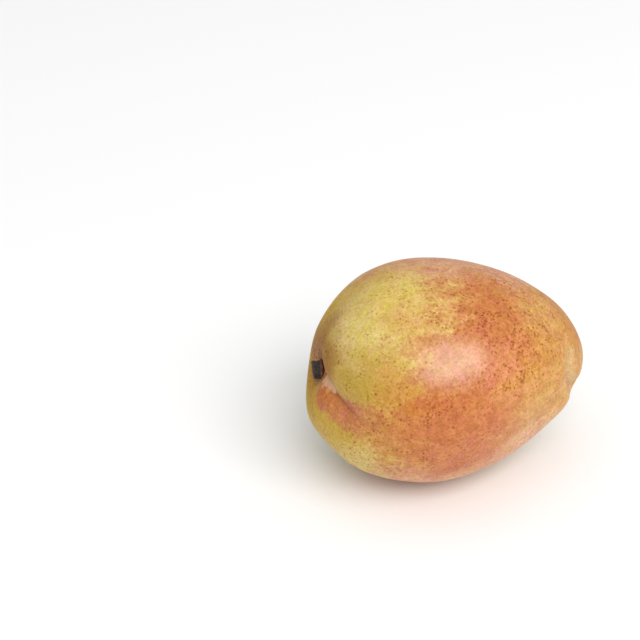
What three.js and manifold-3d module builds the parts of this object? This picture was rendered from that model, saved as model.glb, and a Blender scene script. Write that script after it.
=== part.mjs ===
// A ripe mango with the stub of its stem, lying on one cheek.
//
// Units are millimetres. +X runs from the stem end to the beak end, -Y is the belly side
// and +Z is up. The origin is the middle of the small flat spot that the fruit rests on.

import * as THREE from 'three';
import { mergeVertices } from 'three/addons/utils/BufferGeometryUtils.js';
import Module from 'manifold-3d';

// ---------------------------------------------------------------- driving dimensions

// The plain body: an ellipsoid that grows slimmer towards the beak end.
const HALF_LENGTH = 57.8;
const HALF_WIDTH = 50;
const HALF_THICKNESS = 44.4;
const TAPER = 0.17;        // share of its girth that the body loses from middle to beak end
const TILT_TO_BACK = 0.4;  // sideways lean of the long axis
const BOW_TO_BACK = 2.0;   // both ends bow towards the back, as the fruit is not symmetric

// The resting spot: its middle under the body's centre, and how deep it is pressed in.
const REST_X = -9.4;
const REST_Y = -0.25;
const REST_DEPTH = 0.9;

// The stem stub: a worn woody cylinder on a wider corky collar, rooted in the flesh.
const STUB_RADIUS = 3.8;
const STUB_LENGTH = 4.8;     // from the floor of the cavity to the worn end
const COLLAR_RADIUS = 4.4;
const COLLAR_FOOT = 0.9;     // heights of the collar's lower and upper edges
const COLLAR_TOP = 1.8;
const ROOT_RADIUS = 3.0;
const ROOT_DEPTH = 3.0;
const GAP = 0.3;             // clearance all round the root and the collar
const STUB_WOBBLE = 0.07;    // how far from round the stub is, as a share of its radius
const STUB_LEAN = new THREE.Vector3(-1, 0.05, 0.02).normalize();

// Mesh density.
const SEGMENTS = 76;
const STUB_SEGMENTS = 28;
const RING_BANDS = [         // rings from the stem's pole to the far pole, in degrees
  { upTo: 60, rings: 27 },
  { upTo: 130, rings: 15 },
  { upTo: 160, rings: 15 },
  { upTo: 180, rings: 5 },
];

// ---------------------------------------------------------------- places on the skin

const RADIANS = Math.PI / 180;

// A place is two angles in degrees: how far from the stem end (0) towards the beak end
// (180), and how far round from the belly (0) towards the upper cheek (90).
function toward(fromStemEnd, fromBelly) {
  const along = fromStemEnd * RADIANS;
  const round = fromBelly * RADIANS;
  return new THREE.Vector3(
    -Math.cos(along),
    -Math.sin(along) * Math.cos(round),
    Math.sin(along) * Math.sin(round),
  );
}

const STEM = toward(6, 83);

// Round swellings (height > 0) and hollows (height < 0): millimetres, and degrees of spread.
const SWELLINGS = [
  { at: STEM, height: -6.2, spread: 10.5 },           // cavity that the stem grows from
  { at: STEM, height: -1.2, spread: 22 },             // gentle slope round the cavity
  { at: toward(22, -67), height: 5.6, spread: 26 },   // shoulder below the stem
  { at: toward(29, -61), height: -1.8, spread: 11 },  // flatter patch on that shoulder
  { at: toward(34, 66), height: 0.8, spread: 18 },    // cheek above the stem
  { at: toward(38, 112), height: -1.9, spread: 20 },  // flatter run behind that cheek
  { at: toward(60, -30), height: 1.0, spread: 30 },   // fullness of the belly
  { at: toward(120, -20), height: -2.4, spread: 20 }, // flatter run towards the beak
  { at: toward(138, -24), height: 1.4, spread: 10 },  // lip that overhangs the beak's crease
  { at: toward(166, 8), height: 0.5, spread: 14 },    // blunt beak
];

// Long hollows, each along the arc of a circle through three places. A width is given at
// the start and at the end, and the hollow is steeper on its inner side by `inner`.
const FURROWS = [
  {                                                   // fold from the stem down the belly
    arc: [toward(12, 73), toward(26, 20), toward(58, -3)],
    depth: 2.9, widths: [4, 9], fades: [0.12, 0.9], inner: 0.75,
  },
  {                                                   // crease that sets off the beak
    arc: [toward(150, 55), toward(146, 8), toward(160, -50)],
    depth: 2.8, widths: [3.2, 4.2], fades: [0.5, 0.1], inner: 1,
  },
];

// ---------------------------------------------------------------- the skin as a formula

const angleBetween = (a, b) => Math.acos(THREE.MathUtils.clamp(a.dot(b), -1, 1));

const bell = (distance, spread) => Math.exp(-((distance / spread) ** 2));

// The circle through three places: its axis, its opening angle, and two directions that
// measure how far along it another place lies, counted from the first place.
function circleThrough([start, middle, end]) {
  const chord = middle.clone().sub(start);
  const axis = end.clone().sub(start);
  axis.crossVectors(chord, axis).normalize();
  const east = start.clone().addScaledVector(axis, -axis.dot(start)).normalize();
  const north = new THREE.Vector3().crossVectors(axis, east);
  const turn = Math.atan2(end.dot(north), end.dot(east));
  const length = turn < 0 ? turn + 2 * Math.PI : turn;
  return { axis, east, north, length, opening: angleBetween(axis, start) };
}

const furrows = FURROWS.map((furrow) => ({ ...furrow, ...circleThrough(furrow.arc) }));

function furrowDepth(furrow, direction) {
  let turn = Math.atan2(direction.dot(furrow.north), direction.dot(furrow.east));
  if (turn < furrow.length / 2 - Math.PI) turn += 2 * Math.PI;
  const along = turn / furrow.length;
  const across = (angleBetween(direction, furrow.axis) - furrow.opening) / RADIANS;
  const [startWidth, endWidth] = furrow.widths;
  const width = THREE.MathUtils.lerp(startWidth, endWidth, THREE.MathUtils.clamp(along, 0, 1));
  const [fadeIn, fadeOut] = furrow.fades;
  const fade = THREE.MathUtils.smoothstep(along, 0, fadeIn)
    * THREE.MathUtils.smoothstep(1 - along, 0, fadeOut);
  return furrow.depth * fade * bell(across, across < 0 ? width * furrow.inner : width);
}

// The skin's point in a direction from the body's centre.
function skinPoint(direction) {
  const girth = 1 - TAPER * direction.x;
  const point = new THREE.Vector3(
    HALF_LENGTH * direction.x,
    HALF_WIDTH * direction.y * girth + TILT_TO_BACK * direction.x + BOW_TO_BACK * direction.x ** 2,
    HALF_THICKNESS * direction.z * girth,
  );
  const outward = new THREE.Vector3(
    direction.x / HALF_LENGTH,
    direction.y / HALF_WIDTH,
    direction.z / HALF_THICKNESS,
  ).normalize();
  let relief = 0;
  for (const { at, height, spread } of SWELLINGS) {
    relief += height * bell(angleBetween(direction, at) / RADIANS, spread);
  }
  for (const furrow of furrows) {
    relief -= furrowDepth(furrow, direction);
  }
  return point.addScaledVector(outward, relief);
}

// ---------------------------------------------------------------- solids

const wasm = await Module();
wasm.setup();

// A lathed shape as one closed mesh: shared vertices merged, collapsed triangles dropped.
function closedLathe(profile, segments) {
  const lathe = new THREE.LatheGeometry(profile, segments);
  lathe.deleteAttribute('normal');
  lathe.deleteAttribute('uv');
  const merged = mergeVertices(lathe);
  const corners = merged.index.array;
  const kept = [];
  for (let i = 0; i < corners.length; i += 3) {
    const [a, b, c] = corners.slice(i, i + 3);
    if (a !== b && b !== c && c !== a) kept.push(a, b, c);
  }
  merged.setIndex(kept);
  return merged;
}

function moveVertices(geometry, move) {
  const position = geometry.attributes.position;
  const point = new THREE.Vector3();
  for (let i = 0; i < position.count; i += 1) {
    point.fromBufferAttribute(position, i);
    position.setXYZ(i, ...move(point));
  }
  return geometry;
}

const solidFrom = (geometry) => new wasm.Manifold(new wasm.Mesh({
  numProp: 3,
  vertProperties: new Float32Array(geometry.attributes.position.array),
  triVerts: new Uint32Array(geometry.index.array),
}));

function geometryFrom(solid) {
  const mesh = solid.getMesh();
  const geometry = new THREE.BufferGeometry();
  geometry.setAttribute('position', new THREE.BufferAttribute(mesh.vertProperties, 3));
  geometry.setIndex(new THREE.BufferAttribute(mesh.triVerts, 1));
  geometry.computeVertexNormals();
  return geometry;
}

// Turns a shape made about the Y axis so that the axis points along `direction`.
const turnTo = (direction) => new THREE.Quaternion()
  .setFromUnitVectors(new THREE.Vector3(0, 1, 0), direction);

// ---------------------------------------------------------------- fruit

function ringAngles() {
  const angles = [0];
  for (const { upTo, rings } of RING_BANDS) {
    const from = angles.at(-1);
    for (let i = 1; i <= rings; i += 1) {
      angles.push(from + (upTo - from) * (i / rings));
    }
  }
  return angles;
}

function skin() {
  const profile = ringAngles().reverse().map((angle) => (
    new THREE.Vector2(Math.abs(Math.sin(angle * RADIANS)), Math.cos(angle * RADIANS))
  ));
  const turn = turnTo(STEM);
  return moveVertices(closedLathe(profile, SEGMENTS), (unit) => (
    skinPoint(unit.applyQuaternion(turn).normalize())
  ));
}

const stubBase = skinPoint(STEM);

// The hollow that the stub's root sits in, stepped out round the collar.
function socket() {
  const root = ROOT_RADIUS + GAP;
  const collar = COLLAR_RADIUS * (1 + STUB_WOBBLE) + GAP;
  const profile = [
    new THREE.Vector2(0, -ROOT_DEPTH - GAP),
    new THREE.Vector2(root, -ROOT_DEPTH - GAP),
    new THREE.Vector2(root, COLLAR_FOOT - GAP),
    new THREE.Vector2(collar, COLLAR_FOOT - GAP),
    new THREE.Vector2(collar, STUB_LENGTH),
    new THREE.Vector2(0, STUB_LENGTH),
  ];
  return closedLathe(profile, STUB_SEGMENTS)
    .applyQuaternion(turnTo(STUB_LEAN))
    .translate(...stubBase);
}

const skinShape = skin();
skinShape.computeBoundingBox();
const restHeight = skinShape.boundingBox.min.z + REST_DEPTH;

// Everything below the resting spot, which is cut away.
function underRest() {
  const { min, max } = skinShape.boundingBox;
  const block = new THREE.BoxGeometry(max.x - min.x, max.y - min.y, 2 * REST_DEPTH);
  block.deleteAttribute('normal');
  block.deleteAttribute('uv');
  return mergeVertices(block).translate(
    (min.x + max.x) / 2,
    (min.y + max.y) / 2,
    restHeight - REST_DEPTH,
  );
}

const fruit = new THREE.Mesh(
  geometryFrom(solidFrom(skinShape)
    .subtract(solidFrom(underRest()))
    .subtract(solidFrom(socket()))),
  new THREE.MeshStandardMaterial({ color: 0xd9a24f, roughness: 0.42, metalness: 0 }),
);
fruit.name = 'fruit';

// ---------------------------------------------------------------- stem stub

// The stub is a little out of round above its root, with a worn, slanting end.
function stub() {
  const profile = [
    new THREE.Vector2(0, -ROOT_DEPTH),
    new THREE.Vector2(ROOT_RADIUS, -ROOT_DEPTH),
    new THREE.Vector2(ROOT_RADIUS, COLLAR_FOOT),
    new THREE.Vector2(COLLAR_RADIUS, COLLAR_FOOT + 0.25),
    new THREE.Vector2(COLLAR_RADIUS, COLLAR_TOP - 0.3),
    new THREE.Vector2(STUB_RADIUS, COLLAR_TOP),
    new THREE.Vector2(STUB_RADIUS * 0.97, STUB_LENGTH * 0.62),
    new THREE.Vector2(STUB_RADIUS, STUB_LENGTH - 0.7),
    new THREE.Vector2(STUB_RADIUS * 0.84, STUB_LENGTH - 0.1),
    new THREE.Vector2(STUB_RADIUS * 0.45, STUB_LENGTH - 0.35),
    new THREE.Vector2(0, STUB_LENGTH - 0.3),
  ];
  return moveVertices(closedLathe(profile, STUB_SEGMENTS), (point) => {
    const height = Math.max(point.y, 0) / STUB_LENGTH;
    const turn = Math.atan2(point.z, point.x);
    const wobble = Math.sin(3 * turn + 1) + 0.6 * Math.sin(5 * turn + 4 * height);
    const radial = 1 + STUB_WOBBLE * Math.min(2 * height, 1) * wobble;
    const slant = 0.09 * height * point.x;
    return new THREE.Vector3(point.x * radial, point.y + slant, point.z * radial);
  });
}

const stemStub = new THREE.Mesh(
  stub(),
  new THREE.MeshStandardMaterial({ color: 0x4a3a30, roughness: 0.85, metalness: 0 }),
);
stemStub.name = 'stem_stub';
stemStub.position.copy(stubBase);
stemStub.quaternion.copy(turnTo(STUB_LEAN));

// ---------------------------------------------------------------- assembly

const mango = new THREE.Group();
mango.add(fruit, stemStub);
mango.position.set(-REST_X, -REST_Y, -restHeight);

export default mango;
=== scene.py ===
"""The looks of a ripe mango lying on one cheek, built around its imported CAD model.

Metres, in the CAD model's frame: +X runs from the stem end to the beak, -Y is the belly
side, +Z is up, and the origin is the middle of the spot that the fruit rests on.
"""

import math

import bpy
import numpy as np
from mathutils import Matrix, Vector


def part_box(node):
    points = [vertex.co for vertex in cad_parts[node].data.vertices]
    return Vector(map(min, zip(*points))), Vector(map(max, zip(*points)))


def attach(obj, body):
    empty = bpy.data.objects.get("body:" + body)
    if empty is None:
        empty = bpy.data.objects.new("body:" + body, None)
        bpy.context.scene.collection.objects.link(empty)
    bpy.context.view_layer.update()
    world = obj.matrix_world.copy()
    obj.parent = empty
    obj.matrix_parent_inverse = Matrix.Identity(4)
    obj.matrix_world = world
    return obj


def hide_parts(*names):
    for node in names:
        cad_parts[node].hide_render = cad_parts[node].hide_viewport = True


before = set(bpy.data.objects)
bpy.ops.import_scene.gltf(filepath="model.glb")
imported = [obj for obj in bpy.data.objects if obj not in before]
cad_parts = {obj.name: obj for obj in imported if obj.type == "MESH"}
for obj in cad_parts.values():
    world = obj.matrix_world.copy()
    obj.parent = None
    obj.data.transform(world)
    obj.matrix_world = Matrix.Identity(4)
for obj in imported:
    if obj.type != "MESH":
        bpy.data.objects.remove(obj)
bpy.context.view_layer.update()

MM = 0.001

# ------------------------------------------------------------------ dimensions

# The fruit's form has the same values as its CAD solid.
HALF_LENGTH = 57.8 * MM
HALF_WIDTH = 50 * MM
HALF_THICKNESS = 44.4 * MM
TAPER = 0.17
TILT_TO_BACK = 0.4 * MM
BOW_TO_BACK = 2.0 * MM
REST_X = -9.4 * MM
REST_Y = -0.25 * MM

STUB_RADIUS = 3.8 * MM
STUB_LENGTH = 4.8 * MM
COLLAR_RADIUS = 4.4 * MM
COLLAR_FOOT = 0.9 * MM
COLLAR_TOP = 1.8 * MM
ROOT_RADIUS = 3.0 * MM
ROOT_DEPTH = 3.0 * MM
STUB_WOBBLE = 0.07
STUB_LEAN = Vector((-1, 0.05, 0.02)).normalized()

UNEVENNESS = 0.12 * MM           # half the range of the skin's unevenness, all of it inward
UNEVENNESS_SIZE = 22 * MM        # how wide its lumps are
SHRINKAGE = 0.02 * MM            # keeps the skin inside the CAD solid's facets

# The stub's weathered surface.
BARK_RIDGES = 0.025              # height of its ridges, as a share of its radius
STUB_SLANT = 0.09                # slope of its end, as rise over run
GRAIN_DEPTH = 0.07 * MM
GRAIN_SIZES = (1.1 * MM, 0.5 * MM)
TORN_DEPTH = 0.14 * MM           # unevenness of the torn end
TORN_SIZE = 0.8 * MM

# Mesh density of the fine surfaces.
SKIN_SEGMENTS = 290
SKIN_RING_BANDS = ((60, 140), (130, 90), (160, 70), (180, 25))  # up to degrees, rings
STUB_SEGMENTS = 120
STUB_RINGS_PER_MM = 7

# Camera: where it looks from, how far off, and where the body's centre falls in the frame.
CAMERA_AZIMUTH = -12
CAMERA_ELEVATION = 33
CAMERA_DISTANCE = 0.9
FRAME_SIZE = 640
PIXEL_SIZE = 0.42 * MM           # at the body's centre
CENTRE_IN_FRAME = (446.9, 365.8)
SENSOR = 36 * MM

SEED = 7

# Light: a large softbox placed from the body's centre, and a room around it.
SOFTBOX_DIRECTION = (0.25, -0.66, 0.70)
SOFTBOX_DISTANCE = 2.2
SOFTBOX_SIZE = (1.95, 1.2)
SOFTBOX_POWER = 35.5             # watts
ROOM_LIGHT = (0.36, 0.96)        # brightness at floor height and overhead
FLOOR_SIZE = 8
FLOOR_TONE = (0.9, 0.9, 0.9, 1)


# ------------------------------------------------------------------ places on the skin

def toward(from_stem_end, from_belly):
    """The direction of a place: degrees from the stem end, and round from the belly up."""
    along, turn = math.radians(from_stem_end), math.radians(from_belly)
    return np.array([
        -math.cos(along),
        -math.sin(along) * math.cos(turn),
        math.sin(along) * math.sin(turn),
    ])


STEM = toward(6, 83)

# Round swellings (height > 0) and hollows (height < 0): place, height, degrees of spread.
# The two rows of the shoulder and the height of the run behind the cheek are rounded from a
# least-squares fit to the outline in the photo.
SWELLINGS = (
    (STEM, -6.2 * MM, 10.5),              # cavity that the stem grows from
    (STEM, -1.2 * MM, 22),                # gentle slope round the cavity
    (toward(22, -67), 5.6 * MM, 26),      # shoulder below the stem
    (toward(29, -61), -1.8 * MM, 11),     # flatter patch on that shoulder
    (toward(34, 66), 0.8 * MM, 18),       # cheek above the stem
    (toward(38, 112), -1.9 * MM, 20),     # flatter run behind that cheek
    (toward(60, -30), 1.0 * MM, 30),      # fullness of the belly
    (toward(120, -20), -2.4 * MM, 20),    # flatter run towards the beak
    (toward(138, -24), 1.4 * MM, 10),     # lip that overhangs the beak's crease
    (toward(166, 8), 0.5 * MM, 14),       # blunt beak
)


def bell(distance, spread):
    return np.exp(-(distance / spread) ** 2)


def smoothstep(value, low, high):
    share = np.clip((value - low) / (high - low), 0, 1)
    return share * share * (3 - 2 * share)


def degrees_from(directions, place):
    return np.degrees(np.arccos(np.clip(directions @ place, -1, 1)))


class Arc:
    """The arc of a circle on the skin through three places."""

    def __init__(self, start, middle, end):
        axis = np.cross(middle - start, end - start)
        self.axis = axis / np.linalg.norm(axis)
        self.opening = degrees_from(self.axis, start)
        east = start - self.axis * (self.axis @ start)
        self.east = east / np.linalg.norm(east)
        self.north = np.cross(self.axis, self.east)
        self.length = math.atan2(end @ self.north, end @ self.east) % (2 * math.pi)

    def along(self, directions):
        """0 at the first place and 1 at the last."""
        turn = np.arctan2(directions @ self.north, directions @ self.east)
        turn = np.where(turn < self.length / 2 - math.pi, turn + 2 * math.pi, turn)
        return turn / self.length

    def across(self, directions):
        """Degrees outside the circle, negative inside it."""
        return degrees_from(directions, self.axis) - self.opening

    def band(self, directions, widths, fades, inner=1.0, shift=0.0):
        """1 on the arc, falling off across it by its width and faded out at both ends."""
        along, across = self.along(directions), self.across(directions) - shift
        width = widths[0] + (widths[1] - widths[0]) * np.clip(along, 0, 1)
        width = np.where(across < 0, width * inner, width)
        fade = smoothstep(along, 0, fades[0]) * smoothstep(1 - along, 0, fades[1])
        return fade * bell(across, width)


FOLD = Arc(toward(12, 73), toward(26, 20), toward(58, -3))
FOLD_DEPTH = 2.9 * MM
FOLD_FORM = dict(widths=(4, 9), fades=(0.12, 0.9), inner=0.75)
FURROW_DEPTH = 0.6 * MM          # sharper line in the bottom of the fold or crease
FURROW_FORM = dict(widths=(1.0, 1.3), fades=(0.25, 0.7))
CREASE = Arc(toward(150, 55), toward(146, 8), toward(160, -50))
CREASE_DEPTH = 2.8 * MM
CREASE_FORM = dict(widths=(3.2, 4.2), fades=(0.5, 0.1))
NOTCH_FORM = dict(widths=(1.2, 1.4), fades=(0.6, 0.1))


# ------------------------------------------------------------------ the skin's form

def lumps(points, wavelength, seed):
    """Smooth random unevenness from -1 to 1, as a sum of waves in random directions."""
    random = np.random.default_rng(seed)
    total = np.zeros(len(points))
    waves = 14
    for _ in range(waves):
        heading = random.normal(size=3)
        heading /= np.linalg.norm(heading)
        length = wavelength * random.uniform(0.7, 1.5)
        phase = random.uniform(0, 2 * math.pi)
        total += np.sin(points @ heading * (2 * math.pi / length) + phase)
    return total / math.sqrt(2 * waves)


def body_points(directions):
    """The skin's points in directions from the body's centre."""
    x, y, z = directions.T
    girth = 1 - TAPER * x
    points = np.stack([
        HALF_LENGTH * x,
        HALF_WIDTH * y * girth + TILT_TO_BACK * x + BOW_TO_BACK * x ** 2,
        HALF_THICKNESS * z * girth,
    ], axis=1)
    outward = directions / (HALF_LENGTH, HALF_WIDTH, HALF_THICKNESS)
    outward /= np.linalg.norm(outward, axis=1, keepdims=True)
    relief = -FOLD_DEPTH * FOLD.band(directions, **FOLD_FORM)
    relief -= FURROW_DEPTH * FOLD.band(directions, **FURROW_FORM)
    relief -= CREASE_DEPTH * CREASE.band(directions, **CREASE_FORM)
    relief -= FURROW_DEPTH * CREASE.band(directions, **NOTCH_FORM)
    for place, height, spread in SWELLINGS:
        relief += height * bell(degrees_from(directions, place), spread)
    return points + outward * relief[:, None], outward


def turn_to(direction):
    """The rotation that takes +Z to a direction, as a matrix."""
    return np.array(Vector((0, 0, 1)).rotation_difference(Vector(direction)).to_matrix())


def ring_angles():
    angles = [0.0]
    for up_to, rings in SKIN_RING_BANDS:
        start = angles[-1]
        angles += [start + (up_to - start) * i / rings for i in range(1, rings + 1)]
    return np.radians(angles)


def globe(ring_list, segments):
    """Unit directions on rings about +Z, with one vertex at each pole, and their faces."""
    turns = np.arange(segments) * (2 * math.pi / segments)
    rings = ring_list[1:-1]
    polar, turn = np.meshgrid(rings, turns, indexing="ij")
    middle = np.stack([
        np.sin(polar) * np.cos(turn), np.sin(polar) * np.sin(turn), np.cos(polar),
    ], axis=-1).reshape(-1, 3)
    directions = np.vstack([[(0, 0, 1)], middle, [(0, 0, -1)]])
    return directions, ring_faces(len(rings), segments)


def ring_faces(rings, segments):
    """Faces of stacked rings of vertices, closed by a single vertex at each end."""
    last = 1 + rings * segments
    faces = []
    for j in range(segments):
        k = (j + 1) % segments
        faces.append((0, 1 + j, 1 + k))
        for i in range(rings - 1):
            low, high = 1 + i * segments, 1 + (i + 1) * segments
            faces.append((low + j, high + j, high + k, low + k))
        end = 1 + (rings - 1) * segments
        faces.append((end + j, last, end + k))
    return faces


def new_mesh(name, points, faces, attributes=None):
    """A smooth-shaded mesh object whose named fields are numbers or colours at its points."""
    mesh = bpy.data.meshes.new(name)
    mesh.from_pydata(points.tolist(), [], faces)
    mesh.polygons.foreach_set("use_smooth", [True] * len(mesh.polygons))
    for field, values in (attributes or {}).items():
        kind, key = ("FLOAT", "value") if values.ndim == 1 else ("FLOAT_COLOR", "color")
        attribute = mesh.attributes.new(field, kind, "POINT")
        attribute.data.foreach_set(key, values.astype(np.float32).ravel())
    mesh.update()
    piece = bpy.data.objects.new(name, mesh)
    bpy.context.scene.collection.objects.link(piece)
    return piece


# ------------------------------------------------------------------ the skin's colouring

# Tones of the skin as they look under white light, 0 to 255.
PALE_YELLOW = (210, 185, 110)
LEMON = (205, 175, 70)
OLIVE = (180, 145, 50)
MUSTARD = (195, 155, 25)
BRONZE = (150, 95, 15)
GREEN = (150, 150, 60)
GOLD = (195, 140, 60)
PALE_GOLD = (200, 150, 80)
ORANGE = (190, 115, 50)
AMBER = (185, 120, 25)
RED = (185, 105, 50)
CORAL = (190, 115, 70)
SALMON = (205, 130, 85)
PINK = (200, 145, 105)
PEACH = (215, 165, 125)
CREAM = (200, 165, 115)

# How far a zone of colour holds round its place, in degrees.
BROAD = 20
MIDDLING = 14
SMALL = 9

# Zones of the skin that the sun has left yellow. They are placed from what shows in
# the photo, after an earlier list that was fitted to its colours, and guessed where it shows
# nothing.
GROUND_ZONES = (
    (PALE_YELLOW, toward(50, 65), BROAD),       # the cheek above the stem
    (LEMON, toward(60, 75), SMALL),             # clear yellow on top of the cheek
    (PALE_YELLOW, toward(70, 45), SMALL),       # the cheek's pale edge, into the highlight, partly painted highlight
    (PALE_GOLD, toward(68, 60), SMALL),         # a warm flush on the cheek
    (OLIVE, toward(45, 30), MIDDLING),          # duller skin that rolls into the fold
    (GOLD, toward(62, 25), MIDDLING),           # that skin's orange edge
    (BRONZE, toward(20, 70), MIDDLING),         # darker skin round the stem, partly duller skin and partly painted shade
    (MUSTARD, toward(25, -15), MIDDLING),       # the shoulder below the stem
    (PALE_YELLOW, toward(45, -40), MIDDLING),   # the shoulder's paler underside, partly painted light bounced up from the floor
    (MUSTARD, toward(50, 120), MIDDLING),       # behind the cheek
    (GREEN, toward(75, -140), BROAD),           # the side out of sight
)

# Zones of the skin that the sun has blushed, placed in the same way.
BLUSH_ZONES = (
    (RED, toward(100, 55), BROAD),              # the blush over the middle
    (ORANGE, toward(105, 75), MIDDLING),        # and on towards the top
    (PINK, toward(90, 105), MIDDLING),          # rosy skin along the top
    (PALE_GOLD, toward(80, 75), MIDDLING),      # thin blush between cheek and top
    (PALE_GOLD, toward(65, 45), MIDDLING),      # thin blush on the cheek
    (PINK, toward(85, 38), MIDDLING),           # pale pink in the highlight, partly waxy skin and partly painted highlight
    (SALMON, toward(102, 35), MIDDLING),        # bright skin beyond the highlight
    (RED, toward(80, 12), BROAD),               # the reddest skin, below the highlight
    (ORANGE, toward(60, 10), MIDDLING),         # from there back to the fold
    (CORAL, toward(35, 8), MIDDLING),           # the rosy lip of the fold
    (ORANGE, toward(18, 12), MIDDLING),         # the fold beside the stem
    (GOLD, toward(48, -8), MIDDLING),           # thin blush on the shoulder
    (CORAL, toward(85, -22), MIDDLING),         # the rosy underside
    (PEACH, toward(65, -48), MIDDLING),         # the pale lower edge, partly painted light bounced up from the floor
    (PEACH, toward(92, -46), MIDDLING),
    (PEACH, toward(120, -38), MIDDLING),        # and on below the beak
    (GOLD, toward(125, 25), MIDDLING),          # golden skin before the beak
    (PALE_GOLD, toward(130, 65), MIDDLING),     # paler skin above the beak
    (PINK, toward(115, 95), SMALL),             # and at the top
    (PALE_GOLD, toward(145, 0), BROAD),         # the beak
    (AMBER, toward(158, 75), MIDDLING),         # the beak's upper rim
    (ORANGE, toward(95, 150), BROAD),           # the back
)
TONE_DRIFT = 0.07               # how far a tone wanders from its place, in radians
DRIFT_SIZE = 0.26               # distance over which it wanders and returns, in radians
TONE_FALLOFF = 2.5              # how sharply a tone gives way to the next

# Round patches of skin: place and degrees from it to the patch's edge.
YELLOW_PATCHES = (
    (toward(40, 72), 41),       # cheek above the stem
    (toward(27, -29), 25),      # shoulder below the stem
    (toward(18, -170), 32),     # round the stem's cavity
    (toward(80, -140), 66),     # shaded side, underneath and behind
)
BLOOM_PATCH = (toward(90, 135), 39)     # dull pink along the top of the back
GLOSSY_PATCH = (toward(88, 40), 56)     # shiny skin on the upper cheek
GLOSSY_FADE = 18                        # degrees inside its edge where a patch is full
DULL_PATCH = (toward(14, 142), 41)      # dull skin round the stem
DULL_FADE = 20
SCAR_PATCH = (toward(13, 130), 6)       # worn bark beside the stem
SCAR_EDGE = 2                           # degrees over which it fades, in and out
SCAR_SPREAD = 10.5                      # of the corky skin in the stem's cavity
GREENEST = toward(75, -150)             # on the shaded side
GREEN_SPREAD = 52

# Marks along an arc, with the form of each band. Depths are degrees cut out of the yellow.
REDDENED = Arc(toward(8, 11), toward(28, 7), toward(56, 1))      # just below the fold
REDDENED_FORM = dict(widths=(4.2, 6), fades=(0.15, 0.4))
REDDENED_DEPTH = 35
PINKENED = Arc(toward(75, 56), toward(73, 42), toward(77, 28))   # a bay in the yellow cheek
PINKENED_FORM = dict(widths=(6, 6), fades=(0.2, 0.2))
PINKENED_DEPTH = 14
WEB = Arc(toward(12, 42), toward(19, 31), toward(28, 20))        # from the stem to the fold
WEB_FORM = dict(widths=(5, 2), fades=(0.05, 0.2))
PALE_STRIP_AND_HIGHLIGHT_FORM = dict(widths=(3, 4), fades=(0.3, 0.1), shift=-2.5)    # pale skin beside the crease, partly a painted highlight on the beak's flank
BROWN_LINE_FORM = dict(widths=(0.9, 1.1), fades=(0.2, 0.8))      # in the bottom of the fold, partly painted shade in the crease

# Where the dark dots are stronger or weaker than elsewhere: place, added strength, degrees
# of spread.
DOT_STRENGTH = 0.5
DOT_PATCHES = (
    (toward(108, 62), 0.85, 34),    # the blush from the middle to the top
    (toward(98, 68), 0.35, 18),
    (toward(112, 30), 0.7, 20),     # before the beak
    (toward(142, 22), -0.3, 16),    # along the crease of the beak
    (toward(90, 38), -1.0, 13),     # fewer dots in the highlight, painted as if its sheen washed them out
    (toward(88, 22), 0.3, 14),      # below the highlight
    (toward(76, 18), 0.3, 10),
    (toward(70, -4), 0.4, 26),      # the belly
    (toward(50, 22), 0.4, 16),      # skin that rolls into the fold
    (toward(28, 9), -0.4, 12),      # the lip of the fold
    (toward(36, -16), 0.45, 18),    # shoulder below the stem
    (toward(24, 70), 0.4, 14),      # cheek beside the stem
)


def srgb(red, green, blue):
    """A colour given as it looks on screen, 0 to 255, as linear values."""
    def linear(value):
        share = value / 255
        return share / 12.92 if share <= 0.04045 else ((share + 0.055) / 1.055) ** 2.4
    return (linear(red), linear(green), linear(blue), 1.0)


def depth_in_patch(directions, patch):
    """Degrees from a direction to a round patch's edge, positive inside it."""
    place, reach = patch
    return reach - degrees_from(directions, place)


def toned(directions, zones):
    """Linear colours blended from tones that each hold round a place."""
    drift = [lumps(directions, DRIFT_SIZE, SEED + 10 + axis) for axis in range(3)]
    directions = directions + TONE_DRIFT * np.stack(drift, axis=1)
    directions /= np.linalg.norm(directions, axis=1, keepdims=True)
    distances = np.stack([degrees_from(directions, place) / reach for _, place, reach in zones])
    nearness = (1 + distances ** 2) ** -TONE_FALLOFF
    colours = np.array([srgb(*tone) for tone, _, _ in zones])
    return (nearness / nearness.sum(axis=0)).T @ colours


def yellow_field(directions):
    """Depth inside the skin that the sun has left yellow, less what it has reached there."""
    depth = np.max([depth_in_patch(directions, patch) for patch in YELLOW_PATCHES], axis=0)
    depth -= REDDENED_DEPTH * REDDENED.band(directions, **REDDENED_FORM)
    return depth - PINKENED_DEPTH * PINKENED.band(directions, **PINKENED_FORM)


def green_field(directions):
    """Where the skin is greenest, on the shaded side."""
    return bell(degrees_from(directions, GREENEST), GREEN_SPREAD)


def pale_strip_and_painted_highlight(directions):
    """Pale skin along the crease of the beak, partly a painted highlight on its flank."""
    return CREASE.band(directions, **PALE_STRIP_AND_HIGHLIGHT_FORM)


def dot_field(directions):
    """How strong the dark dots are."""
    patches = (added * bell(degrees_from(directions, place), spread)
               for place, added, spread in DOT_PATCHES)
    return DOT_STRENGTH + sum(patches)


def fold_line_and_painted_shade(directions):
    """The brown line in the bottom of the fold, partly painted shade in the crease."""
    return FOLD.band(directions, **BROWN_LINE_FORM)


def scar_field(directions):
    """Corky skin in the stem's cavity and on the worn patch beside it."""
    beside_stem = smoothstep(depth_in_patch(directions, SCAR_PATCH), -SCAR_EDGE, SCAR_EDGE)
    return np.maximum(bell(degrees_from(directions, STEM), SCAR_SPREAD), beside_stem)


def web_field(directions):
    """The pale corky web between the stem and the start of the fold; its paleness is partly a
    painted highlight.
    """
    return WEB.band(directions, **WEB_FORM)


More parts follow.
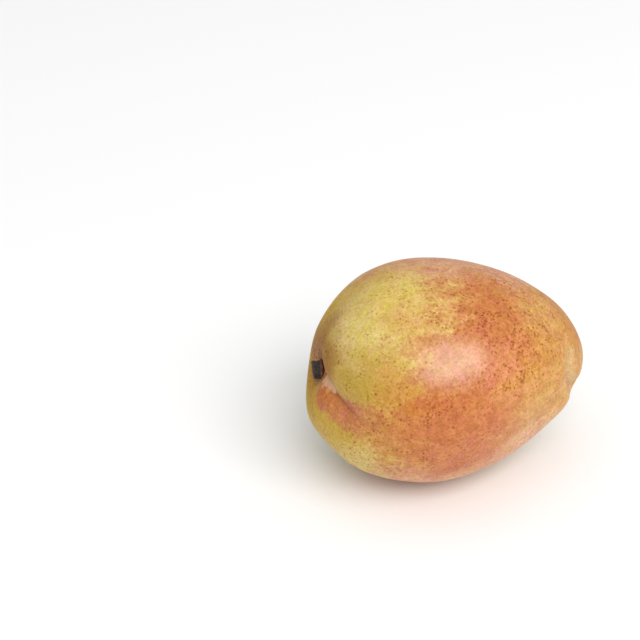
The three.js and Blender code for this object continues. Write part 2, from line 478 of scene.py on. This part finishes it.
def make_fruit():
    directions, faces = globe(ring_angles(), SKIN_SEGMENTS)
    directions = directions @ turn_to(STEM).T
    points, outward = body_points(directions)
    centre = np.array([-REST_X, -REST_Y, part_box("fruit")[1].z - points[:, 2].max()])
    uneven = np.clip(lumps(points, UNEVENNESS_SIZE, SEED), -1, 1) - 1
    points += outward * (UNEVENNESS * uneven - SHRINKAGE)[:, None] + centre
    points[:, 2] = np.maximum(points[:, 2], 0)
    fruit = new_mesh("fruit_skin", points, faces, {
        "ground_tone": toned(directions, GROUND_ZONES),
        "blush_tone": toned(directions, BLUSH_ZONES),
        "yellow": yellow_field(directions),
        "bloom": depth_in_patch(directions, BLOOM_PATCH),
        "green": green_field(directions),
        "pale": pale_strip_and_painted_highlight(directions),
        "dots": dot_field(directions),
        "scar": scar_field(directions),
        "web": web_field(directions),
        "furrow": fold_line_and_painted_shade(directions),
        "gloss": smoothstep(depth_in_patch(directions, GLOSSY_PATCH), 0, GLOSSY_FADE),
        "dull": smoothstep(depth_in_patch(directions, DULL_PATCH), 0, DULL_FADE),
    })
    fruit.data.materials.append(skin_material())
    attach(fruit, "root")
    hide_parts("fruit")
    return centre


# ------------------------------------------------------------------ stem stub

def stub_profile():
    """Radii and heights up the root, round the collar, up the stub and over its hollow end."""
    return np.array([
        (0, -ROOT_DEPTH),
        (ROOT_RADIUS, -ROOT_DEPTH),
        (ROOT_RADIUS * 1.05, 0.1 * MM),
        (COLLAR_RADIUS * 0.96, COLLAR_FOOT * 0.7),
        (COLLAR_RADIUS, COLLAR_FOOT + 0.25 * MM),
        (COLLAR_RADIUS * 0.97, COLLAR_TOP - 0.35 * MM),
        (STUB_RADIUS, COLLAR_TOP),
        (STUB_RADIUS * 0.96, STUB_LENGTH * 0.6),
        (STUB_RADIUS, STUB_LENGTH - 0.6 * MM),
        (STUB_RADIUS * 0.93, STUB_LENGTH - 0.15 * MM),
        (STUB_RADIUS * 0.8, STUB_LENGTH),
        (STUB_RADIUS * 0.5, STUB_LENGTH - 0.45 * MM),
        (0, STUB_LENGTH - 0.5 * MM),
    ])


def stub_points():
    """The stub's points about +Z, ring by ring between two poles, and the number of rings."""
    profile = stub_profile()
    steps = np.hypot(*np.diff(profile, axis=0).T)
    walked = np.concatenate([[0], np.cumsum(steps)])
    rings = int(walked[-1] / MM * STUB_RINGS_PER_MM)
    stations = np.linspace(0, walked[-1], rings + 2)
    radius = np.interp(stations, walked, profile[:, 0])
    height = np.interp(stations, walked, profile[:, 1])
    turns = np.arange(STUB_SEGMENTS) * (2 * math.pi / STUB_SEGMENTS)
    r, turn = np.meshgrid(radius[1:-1], turns, indexing="ij")
    h, _ = np.meshgrid(height[1:-1], turns, indexing="ij")
    share = np.clip(h / STUB_LENGTH, 0, 1)
    wobble = np.sin(3 * turn + 1) + 0.6 * np.sin(5 * turn + 4 * share)
    bark = 0.5 * np.sin(17 * turn + 6 * share) + 0.5 * np.sin(29 * turn - 5 * share + 2)
    above_root = np.minimum(2 * share, 1)
    r = r * (1 + above_root * (STUB_WOBBLE * wobble + BARK_RIDGES * bark))
    x, y = r * np.cos(turn), r * np.sin(turn)
    h = h + STUB_SLANT * share * x
    middle = np.stack([x, y, h], axis=-1).reshape(-1, 3)
    return np.vstack([[(0, 0, height[0])], middle, [(0, 0, height[-1])]]), rings


def roughened(points):
    """The stub's points with a fine grain on its side."""
    coarse, fine = GRAIN_SIZES
    grain = lumps(points, coarse, SEED + 1) + 0.5 * lumps(points, fine, SEED + 2)
    outward = points * (1, 1, 0)
    outward /= np.maximum(np.linalg.norm(outward, axis=1, keepdims=True), 0.5 * MM)
    return points + outward * (GRAIN_DEPTH * grain)[:, None]


def make_stub(centre):
    base = body_points(STEM[None, :])[0][0] + centre
    points, rings = stub_points()
    points = roughened(points)
    torn = smoothstep(points[:, 2], STUB_LENGTH - 0.9 * MM, STUB_LENGTH - 0.2 * MM)
    points[:, 2] += TORN_DEPTH * torn * lumps(points, TORN_SIZE, SEED + 3)
    collar = 1 - smoothstep(points[:, 2], COLLAR_TOP - 0.2 * MM, COLLAR_TOP + 0.3 * MM)
    points = points @ turn_to(STUB_LEAN).T + base
    stub = new_mesh("stem_bark", points, ring_faces(rings, STUB_SEGMENTS), {
        "collar": collar,
        "torn": torn,
    })
    stub.data.materials.append(bark_material())
    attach(stub, "root")
    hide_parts("stem_stub")


# ------------------------------------------------------------------ materials

# Tones of the pores, of the corky skin and of the stem, 0 to 255, from dark to light.
PORE = (226, 206, 130)
CORK = ((138, 96, 62), (184, 136, 98))
# The web's tone is lightened as a painted highlight, in place of the reflection that the dull
# skin there loses.
WEB_AND_PAINTED_HIGHLIGHT_TONE = (222, 176, 144)
BARK = ((34, 31, 35), (70, 61, 60))
BARK_GRIT = (122, 106, 92)
COLLAR = ((74, 43, 30), (122, 80, 58))
TORN_WOOD = ((40, 34, 32), (78, 66, 56))

# What a dot and the line in the fold leave of the colour under them; the line is partly painted
# shade in the crease.
DOT_SHADE = (0.58, 0.38, 0.0, 1)
BROWN_LINE_AND_PAINTED_SHADE = (0.55, 0.42, 0.2, 1)

REFLECTION = (0.5, 0.05)         # of ordinary skin and of dull skin
SKIN_IOR = 1.47
BARK_ROUGHNESS = 0.82
FLOOR_ROUGHNESS = 0.9
NOISE_RANGE = (0.3, 0.7)         # where a noise's values mostly are


class Shader:
    """A material's node tree, built by short calls that return output sockets."""

    def __init__(self, name):
        self.material = bpy.data.materials.new(name)
        self.material.use_nodes = True
        self.tree = self.material.node_tree
        self.surface = self.tree.nodes["Principled BSDF"]
        self.place = self.add("ShaderNodeTexCoord").outputs["Object"]

    def add(self, kind, inputs=None, **settings):
        node = self.tree.nodes.new(kind)
        for name, value in settings.items():
            setattr(node, name, value)
        for key, value in (inputs or {}).items():
            self.feed(node.inputs[key], value)
        return node

    def feed(self, socket, value):
        if isinstance(value, bpy.types.NodeSocket):
            self.tree.links.new(value, socket)
        else:
            socket.default_value = value

    def field(self, name, output="Fac"):
        return self.add("ShaderNodeAttribute", attribute_name=name).outputs[output]

    def math(self, operation, first, second):
        return self.add("ShaderNodeMath", {0: first, 1: second}, operation=operation).outputs[0]

    def total(self, *values):
        sum_so_far = values[0]
        for value in values[1:]:
            sum_so_far = self.math("ADD", sum_so_far, value)
        return sum_so_far

    def vector(self, operation, first, **other):
        inputs = {0: first}
        inputs.update({1: other["second"]} if "second" in other else {"Scale": other["scale"]})
        return self.add("ShaderNodeVectorMath", inputs, operation=operation).outputs[0]

    def ramp(self, value, low, high, start=0.0, end=1.0):
        """A value eased from start to end while the input goes from low to high."""
        return self.add("ShaderNodeMapRange", {
            "Value": value, "From Min": low, "From Max": high, "To Min": start, "To Max": end,
        }, interpolation_type="SMOOTHSTEP").outputs["Result"]

    def eased(self, noise, start=0.0, end=1.0):
        """A value eased from start to end over a noise's usual range."""
        return self.ramp(noise, *NOISE_RANGE, start, end)

    def mix(self, share, first, second, blend="MIX"):
        node = self.add("ShaderNodeMix", data_type="RGBA", blend_type=blend)
        self.feed(node.inputs["Factor"], share)
        first_colour, second_colour = (s for s in node.inputs if s.type == "RGBA")
        self.feed(first_colour, first)
        self.feed(second_colour, second)
        return next(s for s in node.outputs if s.type == "RGBA")

    def tint(self, colour, value, low, high):
        """A colour multiplied by another that follows a noise's value."""
        factor = self.mix(self.eased(value), (*low, 1), (*high, 1))
        return self.vector("MULTIPLY", colour, second=factor)

    def noise(self, size, detail=2.0, roughness=0.5, distortion=0.0, seed=0):
        """Noise, mostly from 0.3 to 0.7, whose patches are about as wide as `size`."""
        return self.add("ShaderNodeTexNoise", {
            "Vector": self.vector("ADD", self.place, second=(seed, seed, seed)),
            "Scale": 1 / size, "Detail": detail, "Roughness": roughness,
            "Distortion": distortion,
        }).outputs["Fac"]

    def jittered_place(self, size, reach):
        """The place on the object pushed about by noise, so that dots there aren't round."""
        push = self.add("ShaderNodeTexNoise", {
            "Vector": self.place, "Scale": 1 / size, "Detail": 1.0,
        }).outputs["Color"]
        centred = self.vector("SUBTRACT", push, second=(0.5, 0.5, 0.5))
        return self.vector("ADD", self.place, second=self.vector("SCALE", centred, scale=reach))

    def dots(self, place, spacing, radius, softness):
        """Scattered dots: how far inside a dot, 0 to 1, and a random number for each."""
        cells = self.add("ShaderNodeTexVoronoi", {"Vector": place, "Scale": 1 / spacing})
        inside = self.ramp(cells.outputs["Distance"], (radius + softness) / spacing,
                           (radius - softness) / spacing)
        chance = self.add("ShaderNodeSeparateColor", {"Color": cells.outputs["Color"]})
        return inside, chance.outputs[0]

    def bump(self, height, strength, distance):
        return self.add("ShaderNodeBump", {
            "Height": height, "Strength": strength, "Distance": distance,
        }).outputs["Normal"]


def ground_colour(shader, patch, mottle):
    """Skin that the sun has left yellow: soft pale, pinkish and olive clouds."""
    colour = shader.tint(shader.field("ground_tone", "Color"), patch,
                         (0.96, 0.93, 0.84), (1.04, 1.06, 1.13))
    clouds = shader.noise(4.5 * MM, detail=3.0, roughness=0.55, distortion=0.8, seed=7)
    colour = shader.tint(colour, clouds, (1.05, 0.99, 1.22), (0.97, 1.02, 0.74))
    return shader.tint(colour, mottle, (0.94, 0.92, 0.85), (1.05, 1.07, 1.13))


def blush_colour(shader, patch, mottle):
    """Blushed skin: redder, pinker and more golden in turn."""
    colour = shader.tint(shader.field("blush_tone", "Color"), patch,
                         (0.94, 0.85, 0.84), (1.06, 1.16, 1.12))
    clouds = shader.noise(3.6 * MM, detail=2.5, distortion=0.5, seed=7)
    colour = shader.tint(colour, clouds, (0.96, 0.97, 0.72), (1.07, 1.03, 1.32))
    return shader.tint(colour, mottle, (0.9, 0.84, 0.78), (1.11, 1.15, 1.25))


def bloom_colour(shader, patch, mottle):
    """Dull pink skin, blotched with paler and redder pink."""
    colour = shader.tint(srgb(*PINK)[:3], patch, (0.95, 0.86, 0.82), (1.05, 1.13, 1.12))
    return shader.tint(colour, mottle, (0.91, 0.85, 0.8), (1.1, 1.14, 1.2))


def blush_share(shader, broad, patch, mottle):
    """How far the skin has blushed, from 0 to 1, with a ragged edge."""
    depth = shader.total(shader.field("yellow"), shader.eased(broad, -6.0, 6.0),
                         shader.eased(patch, -5.0, 5.0),
                         shader.eased(mottle, -4.0, 4.0))
    return shader.ramp(depth, 10.0, -10.0)


def skin_colour(shader, broad, patch, mottle, grain):
    """The skin's colour without its dots and scars."""
    colour = shader.mix(blush_share(shader, broad, patch, mottle),
                        ground_colour(shader, patch, mottle), blush_colour(shader, patch, mottle))
    bloom = shader.total(shader.field("bloom"), shader.eased(patch, -6.0, 6.0),
                         shader.eased(mottle, -4.0, 4.0))
    bloom = shader.math("MULTIPLY", shader.ramp(bloom, -9.0, 8.0),
                        shader.ramp(broad, 0.35, 0.6, 0.9, 0.45))
    colour = shader.mix(bloom, colour, bloom_colour(shader, patch, mottle))
    # cream along the beak's crease: partly pale skin, partly a painted highlight on its flank
    pale = shader.total(shader.field("pale"), shader.eased(patch, -0.2, 0.2))
    colour = shader.mix(shader.ramp(pale, 0.2, 0.9, 0.0, 0.8), colour, srgb(*CREAM))
    return shader.tint(colour, grain, (0.89, 0.87, 0.78), (1.09, 1.12, 1.24))


def skin_dots(shader):
    """Dark freckles: ragged specks from fine noise and rounder dots, thick in some places."""
    clumps = shader.ramp(shader.noise(6 * MM, detail=2.0, seed=8), 0.38, 0.6, 0.35, 1.0)
    strength = shader.math("MULTIPLY", shader.field("dots"), clumps)
    specks = shader.noise(1.15 * MM, detail=1.5, roughness=0.5, distortion=0.5, seed=9)
    specks = shader.ramp(specks, 0.46, 0.33)
    place = shader.jittered_place(1.0 * MM, 0.7 * MM)
    dots, chance = shader.dots(place, 1.7 * MM, 0.48 * MM, 0.2 * MM)
    dots = shader.math("MULTIPLY", dots, shader.ramp(chance, 0.1, 0.7, 0.0, 1.2))
    dark = shader.math("MAXIMUM", shader.math("MULTIPLY", specks, 0.65), dots)
    return shader.math("MULTIPLY", dark, strength)


def skin_pores(shader):
    """Small pale pores, clearest where the skin is green."""
    pore, _ = shader.dots(shader.place, 2.6 * MM, 0.28 * MM, 0.2 * MM)
    return shader.math("MULTIPLY", pore, shader.ramp(shader.field("green"), 0.1, 0.9, 0.1, 0.8))


def with_cork(shader, colour, corky, mottle, grain):
    """The skin's colour with the corky skin in the cavity and the pale web below the stem, the
    web partly a painted highlight.
    """
    dark, light = CORK
    cork = shader.mix(shader.ramp(grain, 0.35, 0.65), srgb(*dark), srgb(*light))
    colour = shader.mix(corky, colour, cork)
    web = shader.total(shader.field("web"), shader.eased(mottle, -0.2, 0.2))
    return shader.mix(shader.ramp(web, 0.3, 0.95, 0.0, 0.85), colour, srgb(*WEB_AND_PAINTED_HIGHLIGHT_TONE))


def skin_material():
    shader = Shader("mango_skin")
    broad = shader.noise(16 * MM, detail=3.0)
    patch = shader.noise(7 * MM, detail=2.5, seed=1)
    mottle = shader.noise(2.2 * MM, detail=3.0, roughness=0.6, distortion=0.3, seed=2)
    grain = shader.noise(0.9 * MM, detail=1.5, roughness=0.6, seed=4)
    dots = skin_dots(shader)
    pores = skin_pores(shader)
    corky = shader.total(shader.field("scar"), shader.eased(mottle, -0.2, 0.2))
    corky = shader.ramp(corky, 0.45, 0.8)

    colour = skin_colour(shader, broad, patch, mottle, grain)
    colour = shader.mix(dots, colour, DOT_SHADE, "MULTIPLY")
    colour = shader.mix(pores, colour, srgb(*PORE))
    # the brown line in the fold: partly the skin's own line, partly painted shade in the crease
    colour = shader.mix(shader.field("furrow"), colour, BROWN_LINE_AND_PAINTED_SHADE, "MULTIPLY")
    colour = with_cork(shader, colour, corky, mottle, grain)

    rough = shader.total(shader.eased(mottle, 0.24, 0.3),
                         shader.ramp(shader.field("gloss"), 0.0, 1.0, 0.22, 0.0),
                         shader.math("MULTIPLY", dots, 0.08), shader.math("MULTIPLY", corky, 0.2))
    relief = shader.math("SUBTRACT", shader.math("MULTIPLY", grain, 0.3),
                         shader.math("MULTIPLY", dots, 0.4))
    relief = shader.total(relief, shader.math("MULTIPLY", pores, 0.5),
                          shader.math("MULTIPLY", mottle, 0.5))
    inputs = shader.surface.inputs
    shader.feed(inputs["Base Color"], colour)
    shader.feed(inputs["Roughness"], rough)
    shader.feed(inputs["Normal"], shader.bump(relief, 0.2, 0.08 * MM))
    shader.feed(inputs["Specular IOR Level"],
                shader.ramp(shader.field("dull"), 0.0, 1.0, *REFLECTION))
    inputs["IOR"].default_value = SKIN_IOR
    return shader.material


def bark_material():
    shader = Shader("stem_bark")
    streaks = shader.noise(1.1 * MM, detail=4.0, roughness=0.7, distortion=1.2)
    grit = shader.noise(0.35 * MM, detail=3.0, roughness=0.7)
    dark, light = (srgb(*tone) for tone in BARK)
    bark = shader.mix(shader.ramp(streaks, 0.35, 0.65), dark, light)
    bark = shader.mix(shader.ramp(grit, 0.55, 0.75, 0.0, 0.5), bark, srgb(*BARK_GRIT))
    dark, light = (srgb(*tone) for tone in COLLAR)
    collar = shader.mix(shader.eased(streaks), dark, light)
    colour = shader.mix(shader.field("collar"), bark, collar)
    dark, light = (srgb(*tone) for tone in TORN_WOOD)
    torn = shader.mix(shader.ramp(grit, 0.4, 0.6), dark, light)
    colour = shader.mix(shader.field("torn"), colour, torn)
    relief = shader.math("ADD", streaks, shader.math("MULTIPLY", grit, 0.6))
    inputs = shader.surface.inputs
    shader.feed(inputs["Base Color"], colour)
    shader.feed(inputs["Normal"], shader.bump(relief, 0.7, 0.15 * MM))
    inputs["Roughness"].default_value = BARK_ROUGHNESS
    return shader.material


# ------------------------------------------------------------------ stage

def make_floor():
    bpy.ops.mesh.primitive_plane_add(size=FLOOR_SIZE, location=(0, 0, 0))
    floor = bpy.context.object
    floor.name = "floor"
    shader = Shader("floor_white")
    shader.surface.inputs["Base Color"].default_value = FLOOR_TONE
    shader.surface.inputs["Roughness"].default_value = FLOOR_ROUGHNESS
    floor.data.materials.append(shader.material)


def make_softbox(aim):
    lamp = bpy.data.lights.new("softbox", "AREA")
    lamp.shape = "RECTANGLE"
    lamp.size, lamp.size_y = SOFTBOX_SIZE
    lamp.energy = SOFTBOX_POWER
    light = bpy.data.objects.new("softbox", lamp)
    bpy.context.scene.collection.objects.link(light)
    light.location = aim + Vector(SOFTBOX_DIRECTION).normalized() * SOFTBOX_DISTANCE
    light.rotation_euler = (aim - light.location).to_track_quat("-Z", "Y").to_euler()


def make_surroundings():
    """A pale room, brighter overhead than at the height of the floor."""
    world = bpy.data.worlds.new("studio")
    bpy.context.scene.world = world
    world.use_nodes = True
    nodes, links = world.node_tree.nodes, world.node_tree.links
    heading = nodes.new("ShaderNodeTexCoord").outputs["Generated"]
    parts = nodes.new("ShaderNodeSeparateXYZ")
    links.new(heading, parts.inputs[0])
    strength = nodes.new("ShaderNodeMapRange")
    strength.inputs["To Min"].default_value = ROOM_LIGHT[0]
    strength.inputs["To Max"].default_value = ROOM_LIGHT[1]
    links.new(parts.outputs["Z"], strength.inputs["Value"])
    background = nodes["Background"]
    background.inputs["Color"].default_value = (1, 1, 1, 1)
    links.new(strength.outputs["Result"], background.inputs["Strength"])


def make_camera(centre):
    azimuth, elevation = math.radians(CAMERA_AZIMUTH), math.radians(CAMERA_ELEVATION)
    back = Vector((
        math.sin(azimuth) * math.cos(elevation),
        -math.cos(azimuth) * math.cos(elevation),
        math.sin(elevation),
    ))
    right = Vector((math.cos(azimuth), math.sin(azimuth), 0))
    up = back.cross(right)
    across, down = (place - FRAME_SIZE / 2 for place in CENTRE_IN_FRAME)
    aim = centre - right * (across * PIXEL_SIZE) + up * (down * PIXEL_SIZE)
    camera_data = bpy.data.cameras.new("camera")
    camera_data.sensor_width = SENSOR / MM
    camera_data.lens = SENSOR / MM * CAMERA_DISTANCE / (FRAME_SIZE * PIXEL_SIZE)
    camera = bpy.data.objects.new("camera", camera_data)
    bpy.context.scene.collection.objects.link(camera)
    camera.location = centre + back * CAMERA_DISTANCE
    level = Matrix((right, up, back)).transposed()
    turn = (-back).rotation_difference(aim - camera.location)
    camera.rotation_euler = (turn.to_matrix() @ level).to_euler()
    bpy.context.scene.camera = camera


# ------------------------------------------------------------------ the scene

body_centre = make_fruit()
make_stub(body_centre)
make_floor()
make_surroundings()
make_softbox(Vector(body_centre))
make_camera(Vector(body_centre))
bpy.context.scene.view_settings.view_transform = "Standard"
